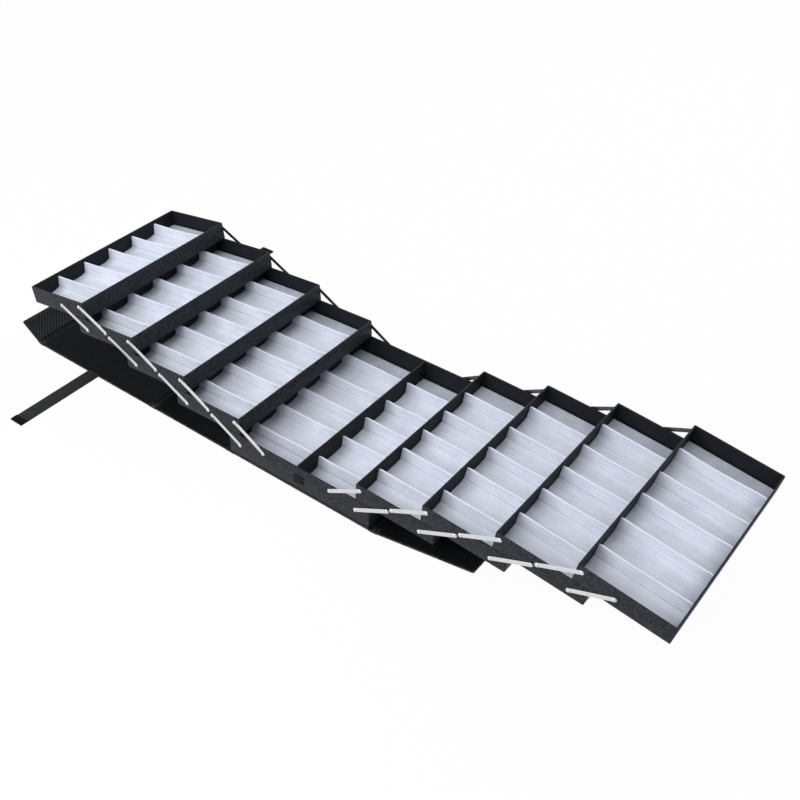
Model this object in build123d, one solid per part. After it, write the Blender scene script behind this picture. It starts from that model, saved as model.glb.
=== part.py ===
from build123d import *
import os
from math import atan2, cos, degrees, hypot, radians, sin, tan

# Folding display case for sunglasses, shown open.
# A low base box with two bays stands on the spine of a wrap-around cover. Four trays step up
# and outward on each side, each carried on the one below by flat riveted links at its two ends.
# X runs across the wings, Y from the front (-Y) to the back, Z up from the table.
# The origin is the centre of the spine's underside. Sizes are in millimetres and degrees.

# Trays
tray_length = 370.0
tray_width = 152.0
tray_height = 33.5
tray_wall = 3.0
tray_floor = 2.0
tray_corner = 2.0
levels = 4

# How the wings stand open and how they stack when folded
open_reach = 124.0
droop = 2.16
rest_gap = 0.6
stack_gap = 1.2
centre_gap = 1.0

# Base box
base_height = 57.0
base_floor_top = 17.0
base_board = 3.0
base_ledge = 6.0
plinth_height = 7.0
plinth_recess = 1.5
divider = 3.0

# Ridged inserts
insert_gap = 0.5
insert_height = 26.0
insert_sheet = 1.5
compartments = 6
ridge_spread = 1.04
ridge_foot = 14.0
ridge_crest = 2.6
ridge_waist = 0.22
ridge_waist_up = 0.36

# Links and rivets, with pivots measured from a tray's inner lower corner
upper_pivot_out = 9.5
upper_pivot_up = 25.0
lower_pivot_out = 63.0
lower_pivot_up = 15.0
pivot_drop = 2.0
link_width = 9.0
link_thickness = 1.5
link_gap = 0.5
rivet_shank = 3.0
rivet_head = 7.0
rivet_head_height = 1.2
rivet_fit = 0.05
rivet_seat = 0.02
open_pivot_play = 1.35

# Cover
panel = 3.0
cover_inset = 3.0
cover_gap = 5.0
lid_gap = 1.0
lip_gap = 0.5
lip_length = 57.0
lip_angle = 36.0
right_panel_angle = 10.7
fold_gap = 0.3
panel_corner = 3.0

# Straps and their patches
strap_width = 30.0
strap_thickness = 2.0
strap_length = 176.0
strap_offset = 5.0
back_strap_offset = 42.0
strap_clearance = 0.3
anchor_tuck = 25.0
anchor_fit = 0.2
hook_width = 19.0
hook_height = 17.0
hook_thickness = 2.0
hook_centre = 32.0
loop_length = 14.0

# How far a cutting tool runs past the face that it cuts
overcut = 1.0

# Places worked out from the sizes above
half_length = tray_length / 2
pitch = tray_height + stack_gap
bay_width = tray_width
base_half = centre_gap / 2 + tray_width
stack_top = base_height + levels * pitch
open_rise = tray_height + rest_gap - (open_reach - tray_width / 2) * tan(radians(droop))
fold_radius = panel / 2
fold_reach = fold_radius + fold_gap
fold_height = panel / 2
side_fold = base_half + cover_gap + fold_radius
side_span = stack_top + lid_gap + fold_radius - fold_height
lid_fold = side_fold + side_span
lid_span = 2 * side_fold + panel + lip_gap
lip_fold = lid_fold + lid_span
right_panel_length = side_span - panel
cover_half = half_length - cover_inset
rivet_out = link_gap + link_thickness + rivet_fit
strap_fold = half_length + rivet_out + rivet_head_height + strap_clearance + strap_thickness / 2
strap_place = lid_fold + side_fold + strap_offset
back_shift = back_strap_offset - strap_offset
loop_thickness = rivet_out + rivet_head_height - hook_thickness
insert_length = tray_length - 2 * tray_wall - 2 * insert_gap
insert_width = tray_width - 2 * tray_wall - 2 * insert_gap
bay_insert_width = base_half - tray_wall - divider / 2 - 2 * insert_gap


def turned(out, up, angle):
    """A point turned so that its outer side sinks by the angle."""
    a = radians(angle)
    return out * cos(a) + up * sin(a), up * cos(a) - out * sin(a)


def tray_places():
    """Centre of the underside and tilt of each level, where level 0 is the base's own bay."""
    out, up, angle = centre_gap / 2 + tray_width / 2, base_height - tray_height, 0.0
    places = [(out, up, angle)]
    for _ in range(levels):
        step_out, step_up = turned(open_reach, open_rise, angle)
        out, up, angle = out + step_out, up + step_up, angle + droop
        places.append((out, up, angle))
    return places


places = tray_places()


def on_tray(level, point):
    """X and Z of a point given from the inner lower corner of the right tray of a level."""
    out, up, angle = places[level]
    turned_out, turned_up = turned(point[0] - tray_width / 2, point[1], angle)
    return out + turned_out, up + turned_up


def start_shift():
    """How far outward of a tray's own pivots the next pair starts, so that the links fold shut."""
    out, up = turned(upper_pivot_out - tray_width / 2, upper_pivot_up, droop)
    across = open_reach + tray_width / 2 + out - upper_pivot_out
    rise = open_rise + up - upper_pivot_up + pivot_drop
    closed_rise = pitch + pivot_drop
    return (across ** 2 + rise ** 2 - closed_rise ** 2) / (2 * across)


shift = start_shift()
link_length = hypot(shift, pitch + pivot_drop)
upper_end = (upper_pivot_out, upper_pivot_up)
lower_end = (lower_pivot_out, lower_pivot_up)
upper_start = (upper_pivot_out + shift, upper_pivot_up - pivot_drop)
lower_start = (lower_pivot_out + shift, lower_pivot_up - pivot_drop)


def distance(a, b):
    return hypot(b[0] - a[0], b[1] - a[1])


def block(x0, x1, y0, y1, z0, z1):
    """A box between two values on each axis."""
    return Pos((x0 + x1) / 2, (y0 + y1) / 2, (z0 + z1) / 2) * Box(x1 - x0, y1 - y0, z1 - z0)


def both_ends(solid):
    """A solid at the front and its mirror image at the back."""
    return [solid, mirror(solid, about=Plane.XZ)]


def strap_ends(solid, shift):
    """A solid at the front strap and its mirror image at the back one, which is sewn in further along."""
    front, back = both_ends(solid)
    return [front, Pos(shift, 0, 0) * back]


def seated(level, solid):
    """A solid of a tray's own frame set in its place on the right wing."""
    out, up, angle = places[level]
    return Pos(out, 0, up) * Rot(0, angle, 0) * solid


def save(name, solids):
    shapes = solids if isinstance(solids, list) else [solids]
    shape = shapes[0] if len(shapes) == 1 else Compound(children=shapes)
    export_step(shape, f"parts/{name}.step")


def save_pair(name, solids):
    """The right wing's node and its mirror image on the left wing."""
    save("right_" + name, solids)
    save("left_" + name, [mirror(solid, about=Plane.YZ) for solid in solids])


def rivet_hole(x, z):
    """A hole along Y through both end walls."""
    return Pos(x, 0, z) * Rot(90, 0, 0) * Cylinder(rivet_shank / 2 + rivet_seat, tray_length + 2 * overcut)


def rivet(x, z):
    """A rivet set in the front wall, with its head over the link."""
    plane = Plane.XZ.offset(half_length - tray_wall)
    shank = extrude(plane * Pos(x, z) * Circle(rivet_shank / 2), amount=tray_wall + rivet_out)
    plane = Plane.XZ.offset(half_length + rivet_out)
    head = extrude(plane * Pos(x, z) * Circle(rivet_head / 2), amount=rivet_head_height, taper=35)
    return shank + head


def link_bar(start, end, length, end_play):
    """A flat round-ended bar on the front from its start pivot toward its end pivot."""
    outline = Pos(length / 2, 0) * SlotCenterToCenter(length, link_width)
    outline -= Circle(rivet_shank / 2 + rivet_fit)
    outline -= Pos(length, 0) * Circle(rivet_shank / 2 + end_play)
    lean = degrees(atan2(end[1] - start[1], end[0] - start[0]))
    placed = Pos(start[0], start[1]) * Rot(0, 0, lean) * outline
    return extrude(Plane.XZ.offset(half_length + link_gap) * placed, amount=link_thickness)


def tray(level):
    """An open tray with the rivet holes that its level needs."""
    shell = Pos(0, 0, tray_height / 2) * Box(tray_width, tray_length, tray_height)
    shell = fillet(shell.edges().filter_by(Axis.Z), tray_corner)
    inner = Box(tray_width - 2 * tray_wall, tray_length - 2 * tray_wall, tray_height)
    shell -= Pos(0, 0, tray_floor + tray_height / 2) * inner
    for out, up in tray_pivots(level):
        shell -= rivet_hole(out - tray_width / 2, up)
    return shell


def tray_pivots(level):
    """Pivots on one tray: the ends of its own links, then the starts of the next pair."""
    ends = [upper_end, lower_end] if level > 0 else []
    starts = [upper_start, lower_start] if level < levels else []
    return ends + starts


def ridge(width, y):
    """One ridge of an insert: a fin with scooped faces and a flat crest, standing on the sheet."""
    foot, crest = ridge_foot / 2, ridge_crest / 2
    waist = crest + (foot - crest) * ridge_waist
    waist_up = insert_sheet + (insert_height - insert_sheet) * ridge_waist_up
    outline = Curve() + [
        Line((y - foot, insert_sheet), (y + foot, insert_sheet)),
        ThreePointArc((y + foot, insert_sheet), (y + waist, waist_up), (y + crest, insert_height)),
        Line((y + crest, insert_height), (y - crest, insert_height)),
        ThreePointArc((y - crest, insert_height), (y - waist, waist_up), (y - foot, insert_sheet)),
    ]
    return extrude(Plane.YZ * make_face(outline), amount=width / 2, both=True)


def insert(width):
    """A ridged insert on Z = 0: a thin sheet with the ridges that part the compartments."""
    half = insert_length / 2
    spacing = insert_length / compartments * ridge_spread
    sheet = block(-width / 2, width / 2, -half, half, 0, insert_sheet)
    return [sheet] + [ridge(width, (i - compartments / 2) * spacing) for i in range(1, compartments)]


def panel_board(near, far, height=0.0):
    """A cover board on the right between two distances from the case's centre."""
    board = block(near, far, -cover_half, cover_half, height, height + panel)
    return fillet(board.edges().filter_by(Axis.Z), panel_corner)


def fold_bead(x):
    """The rounded fold of the covering between two boards."""
    return Pos(x, 0, fold_height) * Rot(90, 0, 0) * Cylinder(fold_radius, 2 * cover_half)


def tipped(solid, x, angle):
    """A solid turned about a fold line, up on its outer side for a positive angle."""
    return Pos(x, 0, fold_height) * Rot(0, -angle, 0) * Pos(-x, 0, -fold_height) * solid


def left(solid):
    return mirror(solid, about=Plane.YZ)


def make_base():
    lower_wall = tray_wall + base_ledge
    shell = block(-base_half, base_half, -half_length, half_length, panel, base_height)
    shell = fillet(shell.edges().filter_by(Axis.Z), tray_corner)
    inner = base_half - tray_wall
    shell -= block(-inner, inner, tray_wall - half_length, half_length - tray_wall,
                   base_floor_top - base_board, base_height + overcut)
    inner = base_half - lower_wall
    shell -= block(-inner, inner, lower_wall - half_length, half_length - lower_wall,
                   0, base_floor_top)
    edge_x, edge_y = base_half + overcut, half_length + overcut
    foot_x, foot_y = base_half - plinth_recess, half_length - plinth_recess
    foot_top = panel + plinth_height
    shell -= (block(-edge_x, edge_x, -edge_y, edge_y, panel - overcut, foot_top)
              - block(-foot_x, foot_x, -foot_y, foot_y, panel - overcut, foot_top))
    starts = [on_tray(0, point) for point in tray_pivots(0)]
    for x, z in starts:
        shell -= rivet_hole(x, z)
        shell -= rivet_hole(-x, z)
    save("base_box", shell)
    inner = base_half - tray_wall
    save("base_floor_board", block(-inner, inner, tray_wall - half_length, half_length - tray_wall,
                                   base_floor_top - base_board, base_floor_top))
    save("base_divider", block(-divider / 2, divider / 2, tray_wall - half_length,
                               half_length - tray_wall, base_floor_top, base_height))
    bay_centre = divider / 2 + insert_gap + bay_insert_width / 2
    bay_place = Pos(bay_centre, 0, base_floor_top)
    save_pair("bay_insert", [bay_place * solid for solid in insert(bay_insert_width)])
    rivets = []
    for x, z in starts:
        rivets += both_ends(rivet(x, z)) + both_ends(rivet(-x, z))
    save("base_rivets", rivets)
    hook = block(strap_offset - hook_width / 2, strap_offset + hook_width / 2,
                 -half_length - hook_thickness, -half_length,
                 hook_centre - hook_height / 2, hook_centre + hook_height / 2)
    save("hook_patches", strap_ends(hook, back_shift))


def make_wings():
    for level in range(1, levels + 1):
        save_pair(f"tray_{level}", [seated(level, tray(level))])
        on_floor = [Pos(0, 0, tray_floor) * solid for solid in insert(insert_width)]
        save_pair(f"insert_{level}", [seated(level, solid) for solid in on_floor])
        rivets = []
        for point in tray_pivots(level):
            rivets += both_ends(rivet(*on_tray(level, point)))
        save_pair(f"tray_rivets_{level}", rivets)
        start, end = on_tray(level - 1, upper_start), on_tray(level, upper_end)
        save_pair(f"upper_links_{level}", both_ends(link_bar(start, end, link_length, rivet_fit)))
        start, end = on_tray(level - 1, lower_start), on_tray(level, lower_end)
        length = (link_length + distance(start, end)) / 2
        save_pair(f"lower_links_{level}", both_ends(link_bar(start, end, length, open_pivot_play)))


def make_cover():
    spine = side_fold - fold_reach
    board = block(-spine, spine, -cover_half, cover_half, 0, panel)
    save("spine_board", board)
    save("spine_folds", [fold_bead(side_fold), fold_bead(-side_fold)])
    save("left_side_board", left(panel_board(side_fold + fold_reach, lid_fold - fold_reach)))
    right_board = panel_board(side_fold + fold_reach, side_fold + right_panel_length)
    save("right_side_board", tipped(right_board, side_fold, right_panel_angle))
    save("lid_fold", left(fold_bead(lid_fold)))
    lid = panel_board(lid_fold + fold_reach, lip_fold - fold_reach)
    tuck = strap_width / 2 + anchor_fit
    for side in (-1, 1):
        near, far = sorted((side * (cover_half - anchor_tuck - anchor_fit), side * (cover_half + overcut)))
        place = strap_place + (back_shift if side > 0 else 0)
        lid -= block(place - tuck, place + tuck, near, far, -overcut, strap_thickness)
    save("lid_board", left(lid))
    save("lip_fold", left(fold_bead(lip_fold)))
    lip = panel_board(lip_fold + fold_reach, lip_fold + lip_length)
    save("lip_board", left(tipped(lip, lip_fold, lip_angle)))


def make_straps():
    x0, x1 = -strap_place - strap_width / 2, -strap_place + strap_width / 2
    half = strap_thickness / 2
    anchor = block(x0, x1, -strap_fold + half + fold_gap, anchor_tuck - cover_half, 0, strap_thickness)
    save("strap_anchors", strap_ends(anchor, -back_shift))
    bend = Pos(-strap_place, -strap_fold, half) * Rot(0, 90, 0) * Cylinder(half, strap_width)
    strap = block(x0, x1, -strap_fold - strap_length, -strap_fold, 0, strap_thickness) + bend
    loop = block(x0, x1, -strap_fold - strap_length, loop_length - strap_fold - strap_length,
                 strap_thickness, strap_thickness + loop_thickness)
    straps, loops = strap_ends(strap, -back_shift), strap_ends(loop, -back_shift)
    for end, strap_solid, loop_solid in zip(("front", "back"), straps, loops):
        save(end + "_strap", strap_solid)
        save(end + "_loop_patch", loop_solid)


os.makedirs("parts", exist_ok=True)
make_base()
make_wings()
make_cover()
make_straps()
print("shift", round(shift, 3), "link length", round(link_length, 3))
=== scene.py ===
from math import atan2, cos, hypot, pi, radians, sin, tan

import bmesh
import bpy
from mathutils import Matrix, Vector, noise


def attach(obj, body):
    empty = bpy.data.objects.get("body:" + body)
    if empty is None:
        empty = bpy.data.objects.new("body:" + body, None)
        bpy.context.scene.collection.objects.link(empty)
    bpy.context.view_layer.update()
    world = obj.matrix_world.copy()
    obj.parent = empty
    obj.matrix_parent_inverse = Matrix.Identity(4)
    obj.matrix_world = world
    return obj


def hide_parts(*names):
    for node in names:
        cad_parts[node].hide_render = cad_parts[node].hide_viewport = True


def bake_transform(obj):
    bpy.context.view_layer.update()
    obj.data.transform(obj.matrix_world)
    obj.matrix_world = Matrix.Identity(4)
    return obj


# Folding display case for sunglasses, standing open, dressed for the camera.
# X runs across the wings, Y from the front (-Y) to the back, Z up from the table, in metres.

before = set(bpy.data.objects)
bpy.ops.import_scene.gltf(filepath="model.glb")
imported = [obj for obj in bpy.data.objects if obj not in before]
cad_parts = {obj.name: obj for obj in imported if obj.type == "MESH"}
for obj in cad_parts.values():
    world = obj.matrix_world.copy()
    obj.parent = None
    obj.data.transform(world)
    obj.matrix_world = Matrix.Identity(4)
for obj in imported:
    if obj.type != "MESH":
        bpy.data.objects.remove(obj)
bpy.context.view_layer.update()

mm = 0.001

# Trays
tray_length = 370 * mm
tray_width = 152 * mm
tray_height = 33.5 * mm
tray_wall = 3 * mm
tray_floor = 2 * mm
tray_corner = 2 * mm
levels = 4

# Covering of the trays and the base: its rounded edges, how far it is turned in over the rim,
# the step where it ends, the recess under a tray, and how wide its edges are rubbed
rim_round = 0.8 * mm
foot_round = 0.7 * mm
tray_turn_in = 8 * mm
base_turn_in = 10 * mm
covering_step = 0.3 * mm
underside_rim = 7 * mm
underside_recess = 0.25 * mm
rubbed_width = 1.6 * mm

# How the wings stand open and how they stack when folded
open_reach = 124 * mm
droop = radians(2.16)
rest_gap = 0.6 * mm
stack_gap = 1.2 * mm
centre_gap = 1 * mm

# Base box
base_height = 57 * mm
base_floor_top = 17 * mm
base_board = 3 * mm
base_ledge = 6 * mm
plinth_height = 9 * mm
plinth_recess = 1.5 * mm
plinth_top, plinth_rim = 0.4 * mm, 4.2 * mm
divider = 3 * mm
divider_drop = 0.2 * mm
divider_gap = 0.05 * mm
divider_round = 1.2 * mm

# Ridged inserts
insert_gap = 0.5 * mm
insert_height = 26 * mm
insert_sheet = 1.5 * mm
compartments = 6
ridge_spread = 1.04
ridge_crest = 2.3 * mm
back_gap = 2.5 * mm
floor_steps = 7
cross_cuts = 33
# How far from an insert's ends the painted shade by the end walls reaches
end_shade_reach = 26 * mm

# Outline of a ridge in millimetres, drawn for one height and one width of its crest
drawn_height, drawn_crest = 24.5, 1.9
front_skirt, back_skirt = 21, 9
skirt_start = 5.5
foot_crease = (5.2, 4.6)

# How far each insert's ridges are set off their even places, from the front one to the back one,
# in millimetres. The first insert of a side lies in its bay, the others in its trays.
ridge_moves = {
    "right": [(-1.5, 2, 1, -1.5, 0.5), (-1.5, 0, -5, -5.5, -5), (-4.5, -2.5, -4, -4, -2),
              (2.5, 5, 5, 4, 3.5), (0, 2, 3.5, -1, 2)],
    "left": [(-2, 1.5, -3, -2, 0.5), (-4, -3, -3, -5, 0.5), (-2, 1, -0.5, -1.5, 5),
             (-3.5, 0, 3.5, 5.5, 5.5), (2, 5, 5, 4.5, 3)],
}

# Links and rivets, with pivots measured from a tray's inner lower corner. The crown of a link's
# face is given as steps inward and up, in millimetres.
upper_pivot = Vector((9.5, 25)) * mm
lower_pivot = Vector((63, 15)) * mm
pivot_drop = 2 * mm
link_width = 7.7 * mm
link_thickness = 1.5 * mm
link_gap = 0.5 * mm
link_sides = 28
link_edge = 0.25 * mm
link_crown = ((0.9, 0.36), (0.8, 0.18), (0.9, 0.07))
rivet_fit = 0.05 * mm
rivet_head = 7 * mm
rivet_head_height = 1.2 * mm

# Cover. The band round a board's lining is given as steps inward and up, in millimetres.
panel = 3 * mm
cover_inset = 3 * mm
cover_gap = 5 * mm
lid_gap = 1 * mm
lip_gap = 0.5 * mm
lip_length = 57 * mm
lip_angle = radians(36)
right_panel_angle = radians(10.7)
fold_gap = 0.3 * mm
fold_bend = 4 * mm
fold_overhang = 0.15 * mm
panel_foot = 0.12 * mm
panel_corner = 3 * mm
panel_round = 0.7 * mm
lining_band = ((2.5, 0), (4.5, 0), (0.5, -0.3))

# Straps and their patches
strap_width = 30 * mm
strap_thickness = 2 * mm
strap_length = 176 * mm
strap_offset = 5 * mm
back_strap_offset = 42 * mm
strap_clearance = 0.3 * mm
strap_root = 12 * mm
strap_bend = 3 * mm
strap_foot = 0.05 * mm
strap_round = 0.6 * mm
thin_start, thin_length = 3 * mm, 5 * mm
hook_width = 19 * mm
hook_height = 17 * mm
hook_thickness = 2 * mm
hook_centre = 32 * mm
loop_length = 14 * mm
patch_sunk = 0.05 * mm
patch_corner = 1.5 * mm
patch_round = 0.4 * mm

# Places worked out from the sizes above
half_length = tray_length / 2
pitch = tray_height + stack_gap
base_half = centre_gap / 2 + tray_width
stack_top = base_height + levels * pitch
open_rise = tray_height + rest_gap - (open_reach - tray_width / 2) * tan(droop)
fold_height = panel / 2
fold_reach = panel / 2 + fold_gap
side_fold = base_half + cover_gap + panel / 2
side_span = stack_top + lid_gap
lid_fold = side_fold + side_span
lid_span = 2 * side_fold + panel + lip_gap
lip_fold = lid_fold + lid_span
right_panel_length = side_span - panel
cover_half = half_length - cover_inset
rivet_out = link_gap + link_thickness + rivet_fit
strap_fold = half_length + rivet_out + rivet_head_height + strap_clearance + strap_thickness / 2
strap_place = lid_fold + side_fold + strap_offset
back_shift = back_strap_offset - strap_offset
loop_thickness = rivet_out + rivet_head_height - hook_thickness
insert_length = tray_length - 2 * tray_wall - 2 * insert_gap
insert_width = tray_width - 2 * tray_wall - 2 * insert_gap
bay_insert_width = base_half - tray_wall - divider / 2 - 2 * insert_gap
ridge_rise = (insert_height - insert_sheet) / drawn_height


def turned(point, angle):
    """A point turned so that its outer side sinks by the angle."""
    return Vector((point[0] * cos(angle) + point[1] * sin(angle),
                   point[1] * cos(angle) - point[0] * sin(angle)))


def tray_places():
    """Centre of the underside and tilt of each level, where level 0 is the base's own bay."""
    place, angle = Vector((centre_gap / 2 + tray_width / 2, base_height - tray_height)), 0.0
    places = [(place, angle)]
    for _ in range(levels):
        place, angle = place + turned((open_reach, open_rise), angle), angle + droop
        places.append((place, angle))
    return places


places = tray_places()


def on_tray(level, point):
    """X and Z of a point given from the inner lower corner of the right tray of a level."""
    place, angle = places[level]
    return place + turned((point[0] - tray_width / 2, point[1]), angle)


def start_shift():
    """How far outward of a tray's own pivots the next pair starts, so that the links fold shut."""
    out, up = turned((upper_pivot[0] - tray_width / 2, upper_pivot[1]), droop)
    across = open_reach + tray_width / 2 + out - upper_pivot[0]
    rise = open_rise + up - upper_pivot[1] + pivot_drop
    closed_rise = pitch + pivot_drop
    return (across ** 2 + rise ** 2 - closed_rise ** 2) / (2 * across)


shift = start_shift()
link_length = hypot(shift, pitch + pivot_drop)
next_pair = Vector((shift, -pivot_drop))


# Shader maths

class Value:
    """A socket of a material. Python's operators on it add Math nodes."""

    def __init__(self, finish, socket):
        self.finish, self.socket = finish, socket

    def maths(self, operation, other):
        return self.finish.add("ShaderNodeMath", {"operation": operation}, {0: self, 1: other})

    def __add__(self, other): return self.maths("ADD", other)
    def __mul__(self, other): return self.maths("MULTIPLY", other)
    def __sub__(self, other): return self.maths("SUBTRACT", other)
    def __rsub__(self, other): return self.maths("MULTIPLY", -1) + other
    __radd__, __rmul__ = __add__, __mul__

    def step(self, low, high, start=0.0, end=1.0):
        """Runs smoothly from start to end while the value goes from low to high."""
        return self.finish.add(
            "ShaderNodeMapRange", {"interpolation_type": "SMOOTHSTEP"},
            {"Value": self, "From Min": low, "From Max": high, "To Min": start, "To Max": end})


class Finish:
    """The nodes of a new material or world."""

    def __init__(self, owner):
        owner.use_nodes = True
        self.owner, self.tree = owner, owner.node_tree
        self.tree.nodes.clear()

    def add(self, kind, settings=None, sockets=None, output=0):
        """A node with its settings and the values or links of its sockets. Gives one output."""
        node = self.tree.nodes.new(kind)
        for name, value in (settings or {}).items():
            setattr(node, name, value)
        for name, value in (sockets or {}).items():
            if isinstance(value, Value):
                self.tree.links.new(value.socket, node.inputs[name])
            else:
                node.inputs[name].default_value = value
        return Value(self, node.outputs[output]) if node.outputs else None

    def place(self, *size, source="Object", turn=(0, 0, 0)):
        """Coordinates in metres divided by one size, or by one on each axis."""
        where = self.add("ShaderNodeTexCoord", output=source)
        scale = [1 / s for s in (size if len(size) == 3 else size * 3)]
        return self.add("ShaderNodeMapping", {},
                        {"Vector": where, "Scale": scale, "Rotation": turn})

    def on_skin(self, first, second):
        """The piece's own UV map, in metres, divided by a size in each of its directions."""
        return self.place(first, second, 1, source="UV")

    def noise(self, where, detail, rough=0.5, distort=0.0):
        return self.add("ShaderNodeTexNoise", {"noise_dimensions": "3D"},
                        {"Vector": where, "Scale": 1.0, "Detail": detail, "Roughness": rough,
                         "Distortion": distort})

    def cells(self, where, feature):
        return self.add("ShaderNodeTexVoronoi", {"feature": feature},
                        {"Vector": where, "Scale": 1.0, "Randomness": 1.0})

    def bands(self, where, direction, scale, distort, detail_scale):
        return self.add("ShaderNodeTexWave", {"wave_type": "BANDS", "bands_direction": direction},
                        {"Vector": where, "Scale": scale, "Distortion": distort, "Detail": 2.0,
                         "Detail Scale": detail_scale}, output="Fac")

    def painted(self, name):
        """A value painted on the piece's points."""
        return self.add("ShaderNodeAttribute", {"attribute_name": name}, output="Fac")

    def mix(self, factor, low, high):
        """A colour between two colours."""
        return self.add("ShaderNodeMix", {"data_type": "RGBA"}, {0: factor, 6: low, 7: high},
                        output=2)

    def bump(self, height, strength, distance):
        return self.add("ShaderNodeBump", {},
                        {"Height": height, "Strength": strength, "Distance": distance})

    def done(self, **sockets):
        """Closes a material with its shader, whose sockets are named with _ for a space."""
        names = {name.replace("_", " "): value for name, value in sockets.items()}
        surface = self.add("ShaderNodeBsdfPrincipled", {}, names)
        self.add("ShaderNodeOutputMaterial", {}, {"Surface": surface})
        return self.owner


def new_material(name):
    return Finish(bpy.data.materials.new(name))


def colour(red, green, blue):
    return (red, green, blue, 1.0)


# Finishes. A plain number beside a texture is its share in the tone, the roughness or the height.

def leatherette(name, dark, light, rubbed_to, rough, gloss, grain, worn):
    """Black leatherette with a pebbled grain, rubbed a little lighter along its edges, and near
    black where painted shade is set.
    """
    f = new_material(name)
    pebble = f.cells(f.place(grain), "SMOOTH_F1")
    fine = f.noise(f.place(0.35 * mm), 3.0)
    broad = f.noise(f.place(45 * mm), 3.0, 0.6)
    rubbed = f.painted("edge") * f.noise(f.place(4 * mm), 4.0, 0.7).step(0.35, 0.7)
    brushed = f.noise(f.place(16 * mm, 16 * mm, 0.8 * mm), 4.0, 0.7)
    tone = (pebble * 0.3 + fine * 0.2 + broad * 0.3 + brushed * 0.4).step(0.3, 0.9)
    base = f.mix(tone, dark, light)
    base = f.mix(rubbed * worn, base, rubbed_to)
    # Painted shade: near black on the band painted under the base's walls
    base = f.mix(f.painted("shade_under_wall") * 0.9, base, colour(0.003, 0.003, 0.0035))
    return f.done(Base_Color=base,
                  Roughness=(broad * 0.16 + fine * 0.1 + pebble * 0.1) + (rough - 0.17),
                  Normal=f.bump(pebble * 0.8 + fine * 0.25, 0.2, 0.16 * mm),
                  Specular_IOR_Level=gloss)


def satin_cloth(name):
    """White satin over card: fine threads across the tray and soft brighter and duller streaks,
    with a painted highlight on the crests and painted shade along the creases, near the ends and
    behind the rear ridge.
    """
    f = new_material(name)
    threads = f.noise(f.on_skin(14 * mm, 0.35 * mm), 2.0)
    cross = f.noise(f.on_skin(0.4 * mm, 0.5 * mm), 1.0)
    grain = f.noise(f.on_skin(3.2 * mm, 1.3 * mm), 3.0, 0.7)
    streaks = f.noise(f.on_skin(90 * mm, 3.2 * mm), 3.0, 0.6)
    blotch = f.noise(f.place(38 * mm), 3.0, 0.55, 0.4)
    tone = (streaks * 0.6 + threads * 0.25 + blotch * 0.5 + grain * 0.8).step(0.7, 1.45)
    base = f.mix(tone, colour(0.62, 0.65, 0.74), colour(0.87, 0.89, 0.965))
    # Painted shade: greyer near the insert's ends by the tray walls and on the strip behind the
    # rear ridge
    dull = f.painted("end") * (blotch * 0.7 + grain * 0.3).step(0.38, 0.58) * 0.8
    base = f.mix(dull, base, colour(0.40, 0.44, 0.50))
    # Painted highlight: a brighter line along each crest
    base = f.mix(f.painted("crest") * 0.95, base, colour(0.89, 0.925, 1.0))
    # Painted shade: a dark line along the crease at each ridge's foot
    crease_shade = f.painted("crease_shade") * streaks.step(0.35, 0.6, 0.1, 0.7)
    base = f.mix(crease_shade, base, colour(0.38, 0.40, 0.50))
    height = threads * 0.7 + cross * 0.4 + streaks * 0.8
    return f.done(Base_Color=base, Roughness=streaks * 0.16 + threads * 0.08 + 0.36,
                  Normal=f.bump(height, 0.25, 0.10 * mm), Sheen_Weight=0.25, Sheen_Roughness=0.35,
                  Sheen_Tint=colour(0.95, 0.96, 1.0), Specular_IOR_Level=0.35)


def zinc_steel(name, rough, line_length):
    """Zinc-plated steel with rolling lines along the bar, a few dull spots, and painted shade that
    darkens the pieces at the back.
    """
    f = new_material(name)
    lines = f.noise(f.on_skin(line_length, 0.25 * mm), 3.0)
    dull = f.noise(f.place(3.5 * mm), 4.0, 0.7).step(0.52, 0.72)
    base = f.mix(dull * 0.45 + lines * 0.35, colour(0.74, 0.75, 0.76), colour(0.44, 0.45, 0.47))
    # Painted shade: the links and rivets at the back are darkened to stand in for the shade they
    # lie in
    base = f.mix(f.painted("back_shade") * 0.85, base, colour(0.10, 0.105, 0.12))
    return f.done(Base_Color=base, Metallic=1.0, Roughness=lines * 0.14 + dull * 0.16 + rough,
                  Normal=f.bump(lines, 0.2, 0.05 * mm))


def webbing_cloth(name, dark, light, rib_across, rib_along):
    """Flat woven webbing: rows of crossing ribs on the strap's own length and width."""
    f = new_material(name)
    ribs, counter = [
        f.bands(f.on_skin(way * rib_across * 2 * pi, rib_along * 2 * pi), "DIAGONAL", 2.0, 1.2, 1.5)
        for way in (1, -1)]
    fluff = f.noise(f.on_skin(0.5 * mm, 0.5 * mm), 3.0)
    worn = f.noise(f.place(22 * mm), 3.0)
    weave = ribs.maths("MAXIMUM", counter)
    base = f.mix((weave * 0.5 + fluff * 0.5 + worn * 0.4).step(0.3, 1.1), dark, light)
    return f.done(Base_Color=base, Roughness=fluff * 0.15 + 0.72,
                  Normal=f.bump(weave + fluff * 0.4, 0.8, 0.25 * mm), Specular_IOR_Level=0.1)


def twill_cloth(name, dark, light):
    """Black lining cloth with a fine diagonal weave."""
    f = new_material(name)
    lines = f.bands(f.place(5.2 * mm, turn=(0, 0, radians(-45.6))), "X", 0.31, 0.9, 1.2)
    fine = f.noise(f.place(0.5 * mm), 3.0)
    rubbed = f.painted("edge") * f.noise(f.place(3 * mm), 4.0).step(0.35, 0.65)
    base = f.mix((lines * 0.7 + fine * 0.4).step(0.15, 0.95), dark, light)
    base = f.mix(rubbed * 0.5, base, colour(0.075, 0.077, 0.08))
    return f.done(Base_Color=base, Roughness=fine * 0.15 + 0.6,
                  Normal=f.bump(lines * 0.8 + fine * 0.4, 0.5, 0.2 * mm), Specular_IOR_Level=0.1)


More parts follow.
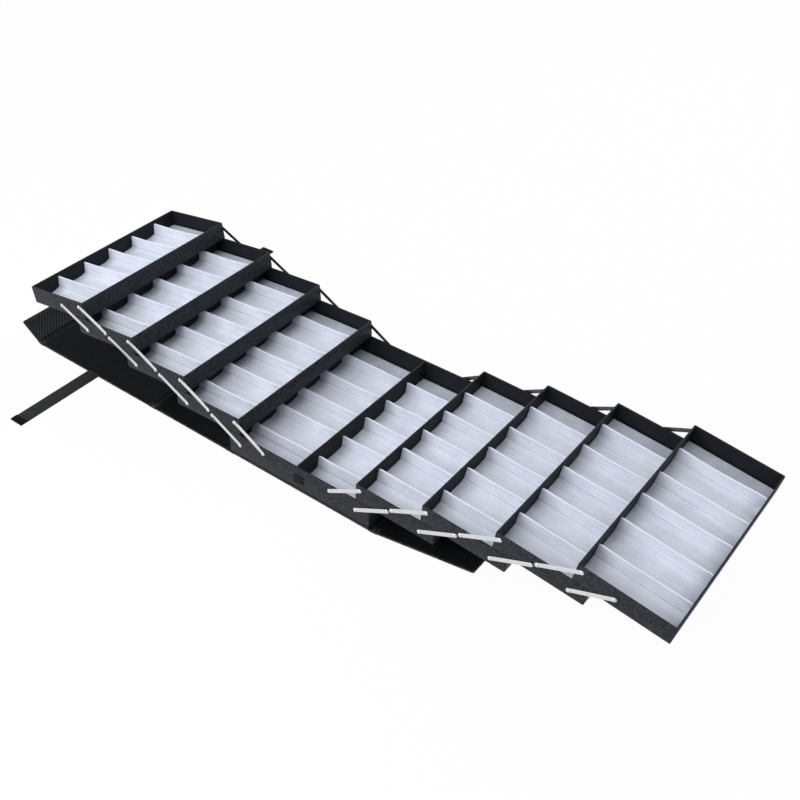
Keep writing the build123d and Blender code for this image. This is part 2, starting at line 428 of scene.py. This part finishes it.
def fastener_tape(name, tone, grain, depth):
    """The face of a hook or loop patch: small stubby hooks or fluff on woven tape."""
    f = new_material(name)
    tufts = f.cells(f.place(grain), "F1")
    fluff = f.noise(f.place(grain * 0.4), 4.0, 0.7)
    dark, light = [colour(*[t * share for t in tone]) for share in (0.5, 1.6)]
    return f.done(Base_Color=f.mix(tufts * 0.8 + fluff * 0.4, dark, light),
                  Roughness=fluff * 0.2 + 0.72,
                  Normal=f.bump(fluff - tufts * 0.8, 0.8, depth), Specular_IOR_Level=0.06)


def pressed_board(name):
    """Black pressed board."""
    f = new_material(name)
    fibres = f.noise(f.place(1.2 * mm, 6 * mm, 1.2 * mm), 4.0, 0.65)
    base = f.mix(fibres, colour(0.012, 0.012, 0.014), colour(0.035, 0.035, 0.038))
    return f.done(Base_Color=base, Roughness=fibres * 0.2 + 0.68,
                  Normal=f.bump(fibres, 0.4, 0.15 * mm))


tray_skin = leatherette(
    "tray_leatherette", colour(0.0085, 0.0093, 0.0113), colour(0.0215, 0.024, 0.0292),
    colour(0.10, 0.108, 0.125), rough=0.5, gloss=0.09, grain=1.0 * mm, worn=0.5)
cover_skin = leatherette(
    "cover_leatherette", colour(0.004, 0.0043, 0.0053), colour(0.014, 0.015, 0.0175),
    colour(0.135, 0.128, 0.12), rough=0.58, gloss=0.05, grain=1.3 * mm, worn=0.85)
twill_skin = twill_cloth("lip_twill", colour(0.007, 0.0073, 0.008), colour(0.044, 0.045, 0.048))
satin = satin_cloth("white_satin")
link_steel = zinc_steel("link_steel", 0.26, 18 * mm)
rivet_steel = zinc_steel("rivet_steel", 0.2, 4 * mm)
webbing = webbing_cloth("strap_webbing", colour(0.005, 0.005, 0.0056), colour(0.043, 0.043, 0.045),
                        rib_across=1.6 * mm, rib_along=2.4 * mm)
loop_tape = fastener_tape("loop_tape", (0.0045, 0.0045, 0.005), 0.9 * mm, 0.35 * mm)
hook_tape = fastener_tape("hook_tape", (0.015, 0.016, 0.020), 1.6 * mm, 0.5 * mm)
floor_board = pressed_board("floor_board")


# Making meshes

def block(bm, low, high):
    """A box between two corners."""
    low, high = Vector(low), Vector(high)
    points = bmesh.ops.create_cube(bm, size=1)["verts"]
    bmesh.ops.scale(bm, vec=high - low, verts=points)
    bmesh.ops.translate(bm, vec=(low + high) / 2, verts=points)


touching = 0.01 * mm


def near(a, b):
    return abs(a - b) < touching


def points_of(geometry):
    return [g for g in geometry if isinstance(g, bmesh.types.BMVert)]


def edges_like(bm, test):
    """Edges of which both ends pass a test on the point."""
    return [e for e in bm.edges if all(test(v.co) for v in e.verts)]


def edges_along(bm, axis, least):
    """Edges that run further than a length along an axis."""
    return [e for e in bm.edges if abs(e.verts[0].co[axis] - e.verts[1].co[axis]) > least]


def upright_edges(bm, test=lambda middle: True):
    """Edges that stand upright and whose middle passes a test."""
    found = []
    for edge in bm.edges:
        along = edge.verts[1].co - edge.verts[0].co
        middle = (edge.verts[0].co + edge.verts[1].co) / 2
        if abs(along.z) > 0.9 * along.length and test(middle):
            found.append(edge)
    return found


def is_wall(face):
    return abs(face.normal.z) < 0.5


def wall_ends(bm):
    """Level edges at which an upright wall ends."""
    return [e for e in bm.edges if near(e.verts[0].co.z, e.verts[1].co.z)
            and any(is_wall(f) for f in e.link_faces)]


def round_edges(bm, edges, radius, segments):
    bmesh.ops.bevel(bm, geom=list(edges), offset=radius, offset_type="OFFSET", segments=segments,
                    profile=0.5, affect="EDGES", clamp_overlap=True, material=-1)


def face_towards(bm, axis, sign):
    """The face that lies furthest along an axis and looks that way."""
    facing = [f for f in bm.faces if f.normal[axis] * sign > 0.9]
    return max(facing, key=lambda f: f.calc_center_median()[axis] * sign)


def step_in(bm, face, inward, up=0.0):
    """Leaves a rim round a face and lifts what is inside the rim."""
    bmesh.ops.inset_region(bm, faces=[face], thickness=inward, use_even_offset=True)
    bmesh.ops.translate(bm, vec=(0, 0, up), verts=face.verts)


def push(bm, face, way):
    """Draws a face out by a vector, with walls behind it, and gives the moved face."""
    grown = bmesh.ops.extrude_face_region(bm, geom=[face])["geom"]
    bmesh.ops.translate(bm, vec=way, verts=points_of(grown))
    return next(g for g in grown if isinstance(g, bmesh.types.BMFace))


def sink(bm, face, up):
    """Moves a face along Z, with walls behind it and nothing left in its old place."""
    pushed = push(bm, face, (0, 0, up))
    bmesh.ops.delete(bm, geom=[face], context="FACES_ONLY")
    bm.normal_update()
    return pushed


def widen(bm, face, amount):
    """Moves a level face's points outward on X and Y, leaving a narrow shelf."""
    shelf = sink(bm, face, 0)
    for point in shelf.verts:
        point.co.x += amount if point.co.x > 0 else -amount
        point.co.y += amount if point.co.y > 0 else -amount
    return shelf


def paint(bm, name, rule):
    """A value between 0 and 1 painted on every point."""
    layer = bm.verts.layers.float.get(name) or bm.verts.layers.float.new(name)
    for point in bm.verts:
        point[layer] = max(0.0, min(1.0, rule(point.co)))


def edge_rule(low, high):
    """A rule for paint: 1 on the edges of a box, and 0 further from them than they are rubbed."""
    def rule(co):
        gaps = sorted(min(abs(co[i] - low[i]), abs(co[i] - high[i])) for i in range(3))
        return 1 - gaps[1] / rubbed_width
    return rule


def lay_uv(bm, rule=lambda point: (point.co.x, point.co.y)):
    """Gives the mesh a UV map in metres, from a rule on the point."""
    layer = bm.loops.layers.uv.verify()
    for face in bm.faces:
        for corner in face.loops:
            corner[layer].uv = rule(corner.vert)


def mirror(bm, axis):
    bm.transform(Matrix.Scale(-1, 4, axis))
    bmesh.ops.reverse_faces(bm, faces=bm.faces)


def to_side(bm, side):
    """Mirrors a mesh of the right wing onto the left one, if it belongs there."""
    if side == "left":
        mirror(bm, (1, 0, 0))


def join(bm, part):
    """Adds a finished mesh to another."""
    mesh = bpy.data.meshes.new("spare")
    part.to_mesh(mesh)
    part.free()
    bm.from_mesh(mesh)
    bpy.data.meshes.remove(mesh)


def seat(bm, level):
    """Sets a mesh made in a tray's own frame in its place on the right wing."""
    place, angle = places[level]
    bm.transform(Matrix.Translation((place[0], 0, place[1])) @ Matrix.Rotation(angle, 4, "Y"))


def new_piece(name, bm, finish, nodes, body=None, between=None, smooth=38):
    """Turns a mesh into a piece that rides on a body; given two bodies instead, it stays where it
    is in world space and follows neither.
    """
    mesh = bpy.data.meshes.new(name)
    bm.to_mesh(mesh)
    bm.free()
    mesh.shade_smooth()
    mesh.set_sharp_from_angle(angle=radians(smooth))
    mesh.materials.append(finish)
    piece = bpy.data.objects.new(name, mesh)
    bpy.context.scene.collection.objects.link(piece)
    if between:
        first, second, start, end = between
        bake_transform(piece)
        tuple(start)
        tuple(end)
    else:
        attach(piece, body)
    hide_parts(*nodes)


# Trays and base

def on_outside(co, high, within):
    """Whether a point lies on one of the four outer walls, or within a distance of it."""
    return abs(co.x) > high[0] - within or abs(co.y) > high[1] - within


def round_shell(bm, low, high, at_foot):
    """Rounds the corners and the rim of the outer walls, and the edges of their foot that pass."""
    corners = upright_edges(bm, lambda m: near(abs(m.x), high[0]) and near(abs(m.y), high[1]))
    round_edges(bm, corners, tray_corner, 4)
    round_edges(bm, edges_like(bm, lambda co: near(co.z, high[2])), rim_round, 3)
    foot = [e for e in wall_ends(bm) if near(e.verts[0].co.z, low[2]) and at_foot(e)]
    round_edges(bm, foot, foot_round, 2)


def tray_shell():
    """An open tray: rounded rim, a shelf where the covering is turned in, a recessed underside."""
    low = (-tray_width / 2, -half_length, 0)
    high = (tray_width / 2, half_length, tray_height)
    bm = bmesh.new()
    block(bm, low, high)
    top = face_towards(bm, 2, 1)
    step_in(bm, top, tray_wall)
    lining = widen(bm, sink(bm, top, -tray_turn_in), covering_step)
    sink(bm, lining, tray_floor - (tray_height - tray_turn_in))
    step_in(bm, face_towards(bm, 2, -1), underside_rim, underside_recess)
    round_shell(bm, low, high, lambda e: any(on_outside(v.co, high, touching) for v in e.verts))
    bm.normal_update()
    paint(bm, "edge", edge_rule(low, high))
    return bm


def make_trays():
    for level in range(1, levels + 1):
        for side in ("right", "left"):
            bm = tray_shell()
            seat(bm, level)
            to_side(bm, side)
            new_piece(f"{side}_tray_{level}_shell", bm, tray_skin,
                      [f"{side}_tray_{level}"], body=f"{side}_tray_{level}")


def make_base():
    """Walls with a ledge for the floor board, on a recessed plinth with a lighter rim and a band of
    painted shade under the walls.
    """
    wall_foot = panel + plinth_height
    low = (-base_half, -half_length, wall_foot)
    high = (base_half, half_length, base_height)
    bm = bmesh.new()
    block(bm, low, high)
    top = face_towards(bm, 2, 1)
    step_in(bm, top, tray_wall)
    well = widen(bm, sink(bm, top, -base_turn_in), covering_step)
    well = sink(bm, well, base_floor_top - base_board - (base_height - base_turn_in))
    step_in(bm, well, base_ledge)
    bottom = face_towards(bm, 2, -1)
    step_in(bm, bottom, plinth_recess)
    tone_change = 0.3 * mm
    dark_band = plinth_height - plinth_top - plinth_rim
    for depth in (plinth_top, dark_band, tone_change, plinth_rim - tone_change):
        bottom = sink(bm, bottom, -depth)
    step_in(bm, bottom, tray_wall + base_ledge - plinth_recess)
    rings = list(well.edges) + list(bottom.edges)
    bmesh.ops.delete(bm, geom=[well, bottom], context="FACES_ONLY")
    bmesh.ops.bridge_loops(bm, edges=rings)
    round_shell(bm, low, high, lambda e: any(
        is_wall(f) and on_outside(f.calc_center_median(), high, 1 * mm) for f in e.link_faces))
    bmesh.ops.recalc_face_normals(bm, faces=bm.faces)
    rubbed, margin = edge_rule(low, high), 0.1 * mm
    rim_top, band_top = panel + plinth_rim - margin, wall_foot - margin
    paint(bm, "edge", lambda co: 1.0 if co.z < rim_top else rubbed(co))
    # Painted shade on the plinth band between its rim and the walls' foot
    paint(bm, "shade_under_wall", lambda co: 1.0 if rim_top < co.z < band_top else 0.0)
    new_piece("base_shell", bm, tray_skin, ["base_box"], body="base")


def make_divider():
    """The wall between the two bays, with a rounded top."""
    bm = bmesh.new()
    inner = half_length - tray_wall - divider_gap
    top = base_height - divider_drop
    block(bm, (-divider / 2, -inner, base_floor_top), (divider / 2, inner, top))
    top_edges = [e for e in edges_like(bm, lambda co: near(co.z, top))
                 if near(e.verts[0].co.x, e.verts[1].co.x)]
    round_edges(bm, top_edges, divider_round, 4)
    paint(bm, "edge", lambda co: (co.z - (base_height - rubbed_width)) / rubbed_width)
    new_piece("bay_divider", bm, tray_skin, ["base_divider"], body="base")


# Satin inserts

def ridge_side(skirt):
    """One side of a ridge, from foot to crest: distance from its middle, and height."""
    crest = ridge_crest / mm / drawn_crest
    flare = skirt - skirt_start
    side = [(skirt, 0), (skirt_start + flare * 0.66, 0.9), (skirt_start + flare * 0.3, 2.6),
            (5.9, 4.2), foot_crease, (4.95, 5.3), (4.5, 7.2), (3.9, 10), (3.2, 13.3), (2.5, 16.8),
            (1.8, 20.2), (1.25 * crest, 22.8), (crest, 23.7), (0.7 * crest, 24.2),
            (0.35 * crest, 24.46)]
    return [(out * mm, insert_sheet + up * ridge_rise) for out, up in side]


def insert_outline(centres):
    """Side view of an insert with ridges at the given places, as pairs of Y and Z."""
    half = insert_length / 2
    front, back = ridge_side(front_skirt), ridge_side(back_skirt)
    line = [(-half, 0)]
    for i in range(compartments):
        last = i == compartments - 1
        start = centres[i - 1] + back_skirt * mm if i else -half
        end = half - back_gap if last else centres[i] - front_skirt * mm
        line += [(start + (end - start) * k / floor_steps, insert_sheet)
                 for k in range(floor_steps + last)]
        if not last:
            line += [(centres[i] - out, up) for out, up in front]
            line += [(centres[i], insert_height)]
            line += [(centres[i] + out, up) for out, up in reversed(back[1:])]
    return line + [(half - back_gap, 0)]


def satin_insert(width, seed, moves):
    """Card sheet and ridges under one skin of satin, a little uneven as glued cloth is."""
    spacing = insert_length / compartments * ridge_spread
    centres = [(i + 1 - compartments / 2) * spacing + move * mm for i, move in enumerate(moves)]
    bm = bmesh.new()
    run = bm.verts.layers.float.new("run")
    points = [bm.verts.new((-width / 2, y, z)) for y, z in insert_outline(centres)]
    length = 0.0
    for before, point in zip([points[0]] + points, points):
        length += (point.co - before.co).length
        point[run] = length
    edges = [bm.edges.new(pair) for pair in zip(points, points[1:] + points[:1])]
    grown = bmesh.ops.extrude_edge_only(bm, edges=edges)["geom"]
    bmesh.ops.translate(bm, vec=(width, 0, 0), verts=points_of(grown))
    bmesh.ops.subdivide_edges(bm, edges=edges_along(bm, 0, width / 2), cuts=cross_cuts,
                              use_grid_fill=True)
    for end in (-width / 2, width / 2):
        rim = [e for e in edges_like(bm, lambda co: near(co.x, end)) if len(e.link_faces) == 1]
        bmesh.ops.contextual_create(bm, geom=rim)
    bmesh.ops.recalc_face_normals(bm, faces=bm.faces)
    lay_uv(bm, lambda point: (point.co.x, point[run]))
    behind = centres[-1] + back_skirt * mm
    crest_highlight_foot, crest_highlight_fade = insert_height - 1.3 * mm, 0.9 * mm
    crease_height, crease_fade = insert_sheet + foot_crease[1] * ridge_rise, 0.2 * mm
    # Painted shade near the ends, where the walls shade the satin, and behind the rear ridge
    paint(bm, "end", lambda co: max(1 - (width / 2 - abs(co.x)) / end_shade_reach,
                                    0.6 if co.y > behind else 0))
    # Painted highlight along the crests
    paint(bm, "crest", lambda co: (co.z - crest_highlight_foot) / crest_highlight_fade)
    # Painted shade along the crease at each ridge's foot
    paint(bm, "crease_shade", lambda co: 1 - abs(co.z - crease_height) / crease_fade)
    for point in bm.verts:
        if point.co.z > insert_sheet / 3:
            settle(point.co, width, spacing, seed)
    return bm


def settle(co, width, spacing, seed):
    """Moves one point of an insert: worn crest ends, uneven crests, slightly puffed floors.

    The plain numbers in the noise keep its rows and its uses apart. Amounts are in millimetres.
    However they are rounded, the points on the middle line go with the half at +X in a tray and
    with the other half in a bay.
    """
    x, y, z = co
    height = (z - insert_sheet) / (insert_height - insert_sheet)
    row = round(y / spacing) + 3
    worn_end, sag_length, ripple_length, puff_size = 4.5 * mm, 55 * mm, 14 * mm, (30 * mm, 18 * mm)
    middle_line = 0.1 * mm if width == bay_insert_width else -0.1 * mm
    half = 0.5 if x > middle_line else 0
    hand = noise.noise((seed * 3.1 + row * 7.7 + half, 4.2, 1.7))
    sag = noise.noise((x / sag_length + seed, row * 5.3, 0.3))
    ripple = noise.noise((x / ripple_length, row * 2.9 + seed, 8.1))
    if 0 < height < 0.2:
        co.z -= (z - insert_sheet) * (0.3 + 0.45 * hand)
    if height > 0:
        worn = max(0.0, 1 - (width / 2 - abs(x)) / worn_end) ** 2 * (1.2 + 0.8 * hand)
        dip = 1.4 * (1 - (2 * x / width) ** 2)
        co.z -= height * (worn + dip) * mm
        co.y += height * (1.3 * sag + 0.18 * ripple) * mm
        co.z += height * (0.45 * sag + 0.1 * ripple) * mm
    middle = (y % spacing) / spacing
    swell = max(0.0, sin(pi * middle)) * (1 - height) * max(0.0, 1 - (2 * x / width) ** 6)
    puff = noise.noise((x / puff_size[0], y / puff_size[1], seed * 1.3))
    co.z += swell * (0.35 + 0.3 * puff) * mm


def make_inserts():
    seed = 0
    bay_middle = divider / 2 + insert_gap + bay_insert_width / 2
    for side in ("right", "left"):
        bm = satin_insert(bay_insert_width, seed, ridge_moves[side][0])
        seed += 1
        bm.transform(Matrix.Translation((bay_middle, 0, base_floor_top)))
        to_side(bm, side)
        new_piece(f"{side}_bay_satin", bm, satin, [f"{side}_bay_insert"], body="base",
                  smooth=60)
        for level in range(1, levels + 1):
            bm = satin_insert(insert_width, seed, ridge_moves[side][level])
            seed += 1
            bm.transform(Matrix.Translation((0, 0, tray_floor)))
            seat(bm, level)
            to_side(bm, side)
            new_piece(f"{side}_satin_{level}", bm, satin, [f"{side}_insert_{level}"],
                      body=f"{side}_tray_{level}", smooth=60)


# Links and rivets

def add_link(bm, start, end, length):
    """A flat round-ended bar in front of the front wall, with a slightly crowned face."""
    part = bmesh.new()
    ring = bmesh.ops.create_circle(part, cap_ends=True, segments=link_sides,
                                   radius=link_width / 2)["verts"]
    bmesh.ops.rotate(part, verts=ring, cent=(0, 0, 0),
                     matrix=Matrix.Rotation(pi / link_sides, 3, "Z"))
    for point in ring:
        if point.co.x > 0:
            point.co.x += length
    part.faces.ensure_lookup_table()
    push(part, part.faces[0], (0, 0, link_thickness))
    part.normal_update()
    bmesh.ops.recalc_face_normals(part, faces=part.faces)
    round_edges(part, wall_ends(part), link_edge, 2)
    flat = face_towards(part, 2, 1)
    for inward, up in link_crown:
        step_in(part, flat, inward * mm, up * mm)
    crown_height = sum(up for _, up in link_crown) * mm
    for point in part.verts:
        if point.co.z > link_thickness / 2:
            point.co.z -= crown_height
    lay_uv(part)
    lean = atan2(end[1] - start[1], end[0] - start[0])
    part.transform(Matrix.Translation((start[0], -half_length - link_gap, start[1]))
                   @ Matrix.Rotation(-lean, 4, "Y") @ Matrix.Rotation(pi / 2, 4, "X"))
    join(bm, part)


def add_rivet(bm, x, z):
    """A rivet with a low domed head that has a small dimple, and its shank."""
    outline = [(0, 0.88), (0.9, 0.93), (1.35, 1.16), (1.9, 1.18), (2.6, 0.98), (3.15, 0.62),
               (3.45, 0.2), (3.45, 0), (1.5, 0), (1.5, -2.6), (0, -2.6)]
    drawn_head = 7
    scale = rivet_head / drawn_head
    part = bmesh.new()
    points = [part.verts.new((out * scale, 0, up * mm)) for out, up in outline]
    edges = [part.edges.new(pair) for pair in zip(points, points[1:])]
    bmesh.ops.spin(part, geom=points + edges, cent=(0, 0, 0), axis=(0, 0, 1), angle=2 * pi,
                   steps=20, use_merge=True)
    bmesh.ops.remove_doubles(part, verts=part.verts, dist=0.002 * mm)
    bmesh.ops.recalc_face_normals(part, faces=part.faces)
    lay_uv(part)
    part.transform(Matrix.Translation((x, -half_length - rivet_out, z))
                   @ Matrix.Rotation(pi / 2, 4, "X"))
    join(bm, part)


def add_back(bm):
    """Adds the mirror image of the front pieces at the back, and darkens it with painted shade."""
    copy = bm.copy()
    mirror(copy, (0, 1, 0))
    join(bm, copy)
    paint(bm, "back_shade", lambda co: 1.0 if co.y > 0 else 0.0)


def make_links():
    for side in ("right", "left"):
        for level in range(1, levels + 1):
            for kind, pivot in (("upper", upper_pivot), ("lower", lower_pivot)):
                start, end = on_tray(level - 1, pivot + next_pair), on_tray(level, pivot)
                length = link_length
                if kind == "lower":
                    length = (link_length + (end - start).length) / 2
                bm = bmesh.new()
                add_link(bm, start, end, length)
                add_back(bm)
                to_side(bm, side)
                name = f"{side}_{kind}_links_{level}"
                new_piece(f"{side}_{kind}_bars_{level}", bm, link_steel, [name],
                          body=name)


def make_rivets():
    for side in ("right", "left"):
        for level in range(levels + 1):
            pivots = [upper_pivot, lower_pivot] if level > 0 else []
            pivots += [upper_pivot + next_pair, lower_pivot + next_pair] if level < levels else []
            bm = bmesh.new()
            for pivot in pivots:
                add_rivet(bm, *on_tray(level, pivot))
            add_back(bm)
            to_side(bm, side)
            node = f"{side}_tray_rivets_{level}" if level else "base_rivets"
            new_piece(f"{side}_rivets_{level}", bm, rivet_steel, [node],
                      body=f"{side}_tray_{level}" if level else "base", smooth=50)


# Cover

def cover_board(near_end, far_end, corner=True):
    """A covered board, flat on the table, with a turned-in band round a recessed lining."""
    bm = bmesh.new()
    low, high = (near_end, -cover_half, panel_foot), (far_end, cover_half, panel)
    block(bm, low, high)
    top = face_towards(bm, 2, 1)
    for inward, up in lining_band:
        step_in(bm, top, inward * mm, up * mm)
    if corner:
        round_edges(bm, upright_edges(bm), panel_corner, 5)
    bm.normal_update()
    round_edges(bm, wall_ends(bm), panel_round, 3)
    bm.normal_update()
    rubbed = 2.6 * mm
    paint(bm, "edge", lambda co: 1 - min(cover_half - abs(co.y), abs(co.x - far_end)) / rubbed)
    return bm


def tip(bm, x, angle):
    """Turns a mesh about a fold line, up on its outer side."""
    bm.transform(Matrix.Translation((x, 0, fold_height)) @ Matrix.Rotation(-angle, 4, "Y")
                 @ Matrix.Translation((-x, 0, -fold_height)))


def fold_strip(x, angle):
    """The covering where it runs over a fold: flat over both boards, with a groove between."""
    half_top = [(1.8, 2.82), (3.4, 2.98), (5, 3.05), (8.6, 3.05), (8.9, 2.8)]
    half_under = [(1.5, 0.3), (3, 0), (8.6, 0), (8.9, 0.1)]
    outline = [(-out, up) for out, up in reversed(half_top)] + [(0, 2.75)] + half_top
    outline += half_under[::-1] + [(0, 0.4)] + [(-out, up) for out, up in half_under]
    side = cover_half + fold_overhang
    bm = bmesh.new()
    points = [bm.verts.new((x + out * mm, -side, up * mm)) for out, up in outline]
    push(bm, bm.faces.new(points), (0, 2 * side, 0))
    bmesh.ops.subdivide_edges(bm, edges=edges_along(bm, 1, side), cuts=24, use_grid_fill=True)
    bmesh.ops.recalc_face_normals(bm, faces=bm.faces)
    rubbed = 8 * mm
    paint(bm, "edge", lambda co: 1 - (side - abs(co.y)) / rubbed)
    for point in bm.verts:
        along = max(0.0, min(1.0, (point.co.x - x + fold_bend) / (2 * fold_bend)))
        turn = Matrix.Rotation(-angle * along * along * (3 - 2 * along), 3, "Y")
        pivot = Vector((x, point.co.y, fold_height))
        point.co = pivot + turn @ (point.co - pivot)
    return bm


def add_board(name, node, side, body, fold, far_end, angle=0.0, finish=cover_skin):
    """A cover board that starts at a fold and may be raised about it."""
    bm = cover_board(fold + fold_reach, far_end)
    if angle:
        tip(bm, fold, angle)
    to_side(bm, side)
    new_piece(name, bm, finish, [node], body=body)


def add_fold(name, node, side, bodies, x, angle=0.0):
    """The covering over a fold, shaped to the angle between its two boards."""
    bm = fold_strip(x, angle)
    to_side(bm, side)
    way = -1 if side == "left" else 1
    start = (way * (x - fold_bend), 0, fold_height)
    end = (way * (x + fold_bend * cos(angle)), 0, fold_height + fold_bend * sin(angle))
    new_piece(name, bm, cover_skin, [node], between=(*bodies, start, end))


def make_cover():
    spine_half = side_fold - fold_reach
    bm = cover_board(-spine_half, spine_half, corner=False)
    new_piece("spine", bm, cover_skin, ["spine_board"], body="base")
    add_board("left_side", "left_side_board", "left", "left_side_board", side_fold,
              lid_fold - fold_reach)
    add_board("right_side", "right_side_board", "right", "right_side_board", side_fold,
              side_fold + right_panel_length, right_panel_angle)
    add_board("lid", "lid_board", "left", "lid", lid_fold, lip_fold - fold_reach)
    add_board("lip", "lip_board", "left", "lip", lip_fold, lip_fold + lip_length, lip_angle,
              twill_skin)
    add_fold("left_spine_fold", "spine_folds", "left", ("base", "left_side_board"), side_fold)
    add_fold("right_spine_fold", "spine_folds", "right", ("base", "right_side_board"), side_fold,
             right_panel_angle)
    add_fold("lid_crease", "lid_fold", "left", ("left_side_board", "lid"), lid_fold)
    add_fold("lip_crease", "lip_fold", "left", ("lid", "lip"), lip_fold, lip_angle)


# Straps and patches

def to_back_strap(bm, move):
    """Mirrors a piece of the front strap to the back, where it is moved along X."""
    mirror(bm, (0, 1, 0))
    bm.transform(Matrix.Translation((move, 0, 0)))


def add_webbing(end, way):
    """A strap from under the lid's edge to its tip, thinner inside the cover, a little wavy."""
    bm = bmesh.new()
    root, tip_y, middle = cover_half - strap_root, strap_fold + strap_length, strap_thickness / 2
    block(bm, (-strap_place - strap_width / 2, -tip_y, strap_foot),
          (-strap_place + strap_width / 2, -root, strap_thickness))
    round_edges(bm, edges_along(bm, 1, root / 2), strap_round, 3)
    bmesh.ops.subdivide_edges(bm, edges=edges_along(bm, 1, root / 2), cuts=80, use_grid_fill=True)
    for point in bm.verts:
        inside = max(0.0, min(1.0, (point.co.y + cover_half + thin_start) / thin_length))
        point.co.z = middle + (point.co.z - middle) * (1 - 0.3 * inside)
        wave = noise.noise((point.co.y / (17 * mm), point.co.x * 40, way * 3.0))
        point.co.x += 0.25 * mm * wave
    bmesh.ops.recalc_face_normals(bm, faces=bm.faces)
    lay_uv(bm)
    place = -strap_place
    if way > 0:
        place -= back_shift
        to_back_strap(bm, -back_shift)
    start, stop = [(place, way * (strap_fold + reach), strap_thickness / 2)
                   for reach in (-strap_bend, strap_bend)]
    new_piece(f"{end}_webbing", bm, webbing, [f"{end}_strap", "strap_anchors"],
              between=("lid", f"{end}_strap", start, stop))


def add_loop_face(end, way):
    """The darker patch on the tip of a strap."""
    bm = bmesh.new()
    tip_y = strap_fold + strap_length
    block(bm, (-strap_place - strap_width / 2, -tip_y, strap_thickness - patch_sunk),
          (-strap_place + strap_width / 2, loop_length - tip_y, strap_thickness + loop_thickness))
    round_edges(bm, upright_edges(bm), patch_corner, 3)
    upper = edges_like(bm, lambda co: co.z > strap_thickness + loop_thickness / 2)
    round_edges(bm, upper, patch_round, 2)
    if way > 0:
        to_back_strap(bm, -back_shift)
    new_piece(f"{end}_loop_face", bm, loop_tape, [f"{end}_loop_patch"],
              body=f"{end}_strap")


def make_straps():
    for end, way in (("front", -1), ("back", 1)):
        add_webbing(end, way)
        add_loop_face(end, way)


def make_hook_faces():
    """The patches on the base's front and back walls that hold the straps."""
    bm = bmesh.new()
    face = -half_length - hook_thickness
    block(bm, (strap_offset - hook_width / 2, face, hook_centre - hook_height / 2),
          (strap_offset + hook_width / 2, patch_sunk - half_length, hook_centre + hook_height / 2))
    round_edges(bm, edges_along(bm, 1, hook_thickness / 2), patch_corner, 3)
    round_edges(bm, edges_like(bm, lambda co: near(co.y, face)), patch_round, 2)
    back = bm.copy()
    to_back_strap(back, back_shift)
    join(bm, back)
    new_piece("hook_faces", bm, hook_tape, ["hook_patches"], body="base")


def dress_floor_board():
    """The board under the bay inserts keeps its shape and gets its own finish."""
    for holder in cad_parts["base_floor_board"].material_slots:
        holder.material = floor_board


make_trays()
make_base()
make_divider()
make_inserts()
make_links()
make_rivets()
make_cover()
make_straps()
make_hook_faces()
dress_floor_board()


# Camera, from a fit to points measured on the object in the photograph

def make_camera():
    data = bpy.data.cameras.new("camera")
    data.sensor_width = 36
    data.lens = 48.044
    data.shift_x, data.shift_y = 0.0741, 0.0070
    data.clip_start, data.clip_end = 0.05, 60
    camera = bpy.data.objects.new("camera", data)
    right = Vector((0.77894, 0.62701, -0.01055))
    ahead = Vector((-0.48855, 0.59621, -0.63707))
    up = right.cross(ahead)
    place = Vector((879.9, -1139.2, 1258.2)) * mm
    turn = Matrix((right, up, -ahead)).transposed().to_4x4()
    camera.matrix_world = Matrix.Translation(place) @ turn
    bpy.context.scene.collection.objects.link(camera)
    bpy.context.scene.camera = camera


# Floor and light

def shown_white(finish, lit, white, share):
    """Mixes a lit surface with plain white for what the camera and reflections see."""
    rays = finish.add("ShaderNodeLightPath", output="Is Camera Ray")
    for ray in ("Is Glossy Ray", "Is Transmission Ray"):
        rays = rays.maths("MAXIMUM", finish.add("ShaderNodeLightPath", output=ray))
    return finish.add("ShaderNodeMixShader", {}, {0: rays * share, 1: lit, 2: white})


def make_floor():
    f = new_material("pale_floor")
    lit = f.add("ShaderNodeBsdfDiffuse", {}, {"Color": colour(0.86, 0.86, 0.86)})
    white = f.add("ShaderNodeEmission", {}, {"Color": colour(1, 1, 1), "Strength": 1.0})
    f.add("ShaderNodeOutputMaterial", {}, {"Surface": shown_white(f, lit, white, 0.97)})
    bm = bmesh.new()
    bmesh.ops.create_grid(bm, x_segments=1, y_segments=1, size=9)
    mesh = bpy.data.meshes.new("floor")
    bm.to_mesh(mesh)
    bm.free()
    mesh.materials.append(f.owner)
    floor = bpy.data.objects.new("floor", mesh)
    bpy.context.scene.collection.objects.link(floor)


def make_world():
    world = bpy.data.worlds.new("studio")
    f = Finish(world)
    lit = f.add("ShaderNodeBackground", {}, {"Color": colour(0.93, 0.96, 1.0), "Strength": 0.43})
    white = f.add("ShaderNodeBackground", {}, {"Color": colour(1, 1, 1), "Strength": 1.0})
    f.add("ShaderNodeOutputWorld", {}, {"Surface": shown_white(f, lit, white, 1.0)})
    bpy.context.scene.world = world


def add_lamp(name, place, aim, size, power, tint):
    data = bpy.data.lights.new(name, "AREA")
    data.shape = "RECTANGLE"
    data.size, data.size_y = size
    data.energy = power
    data.color = tint
    light = bpy.data.objects.new(name, data)
    light.location = place
    light.rotation_euler = (Vector(aim) - Vector(place)).to_track_quat("-Z", "Y").to_euler()
    bpy.context.scene.collection.objects.link(light)


make_camera()
make_floor()
make_world()
add_lamp("overhead", (-0.1, 0.0, 2.7), (-0.05, 0.0, 0.1), (2.4, 1.8), 8, (0.97, 0.98, 1.0))
add_lamp("front", (-0.8, -2.2, 1.95), (-0.05, 0.0, 0.1), (3.4, 1.4), 62, (0.96, 0.98, 1.0))
add_lamp("back", (0.1, 2.3, 1.8), (0.0, 0.0, 0.1), (2.6, 1.4), 22, (0.97, 0.98, 1.0))

bpy.context.scene.view_settings.view_transform = "Standard"
